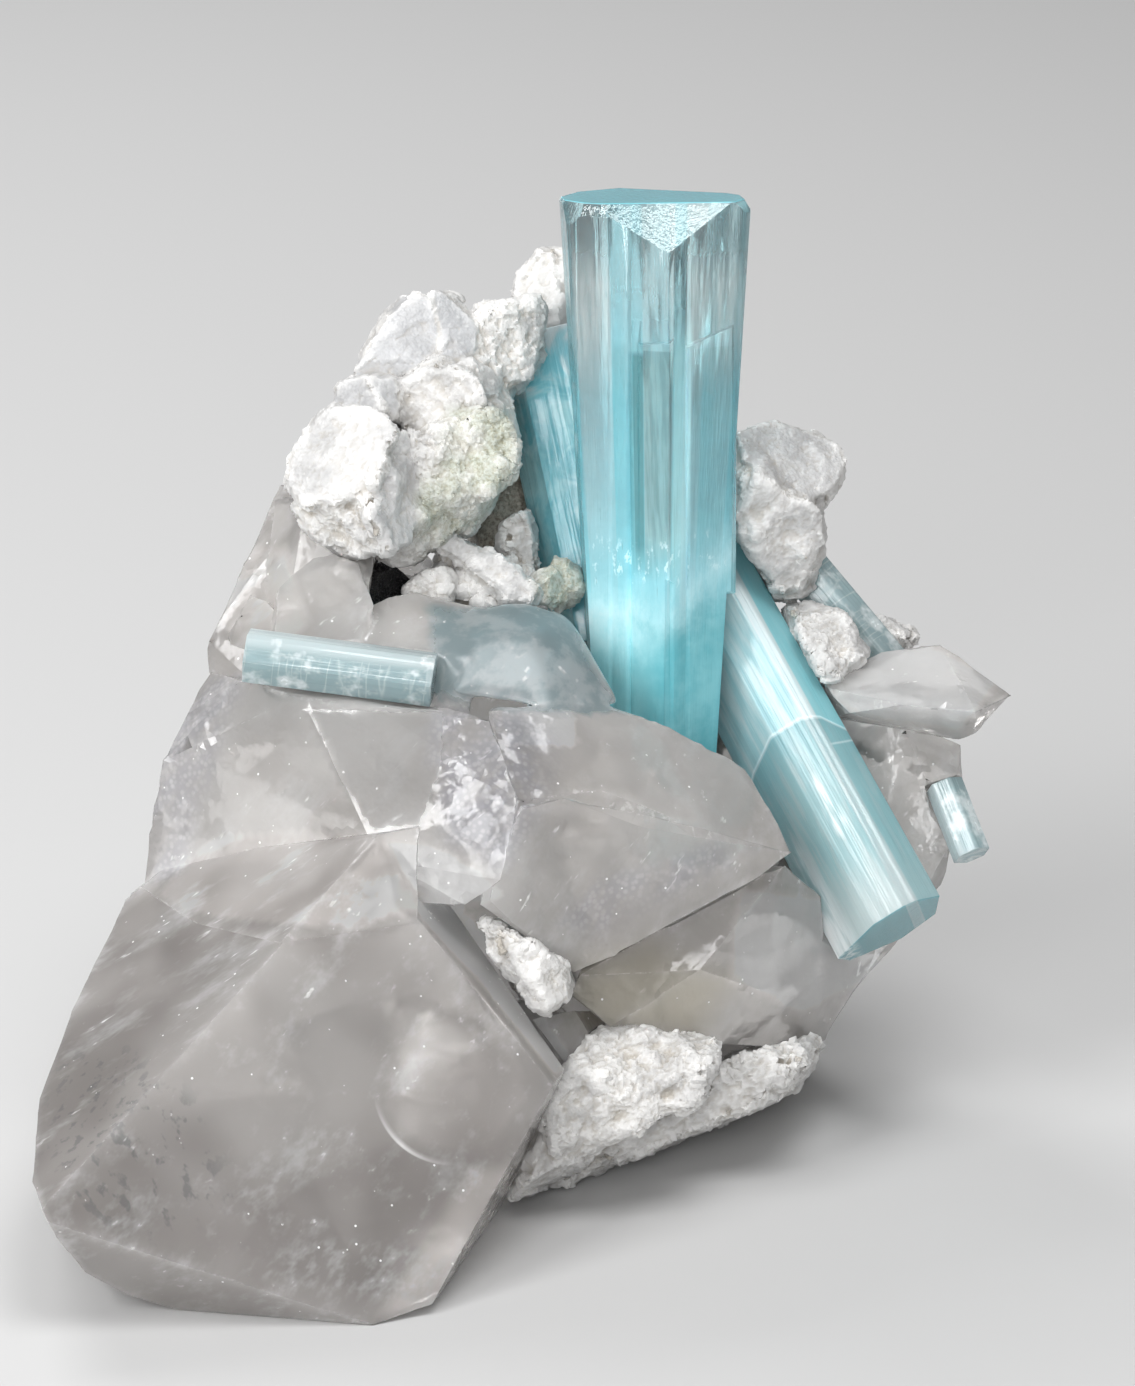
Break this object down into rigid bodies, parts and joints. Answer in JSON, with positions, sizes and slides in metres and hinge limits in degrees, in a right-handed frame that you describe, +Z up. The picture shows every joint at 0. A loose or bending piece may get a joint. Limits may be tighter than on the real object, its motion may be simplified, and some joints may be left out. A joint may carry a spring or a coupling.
{
  "type": "mineral specimen",
  "caption": "Upright blue aquamarine prism with smaller aquamarines, growing from a blocky matrix of milky quartz points and sugary white albite; stands on its own base.",
  "frame": {"origin": "on the table under the middle of the specimen: the bottom centre of its bounding box", "axes": "+Z up, -Y towards the front it is shown from, +X to that viewer's right"},
  "size_m": [0.0958, 0.0878, 0.0938],
  "materials": {
    "aquamarine": "glassy, clear at the tip and cloudy below",
    "pale_aquamarine": "glassy, pale",
    "quartz": "milky, translucent, satin to glassy",
    "albite": "matt white, sugary",
    "schorl": "black, glassy"
  },
  "bodies": {
    "root": {"aquamarine_main": "aquamarine", "aquamarine_behind": "aquamarine", "aquamarine_leaning": "aquamarine", "aquamarine_lying": "pale_aquamarine", "aquamarine_hidden": "pale_aquamarine", "aquamarine_sprig": "pale_aquamarine", "quartz": "quartz", "albite_crown": "albite", "albite_shoulder": "albite", "albite_terrace": "albite", "albite_foot": "albite", "albite_wedge": "albite", "albite_nest": "albite", "schorl": "schorl"}
  },
  "joints": []
}
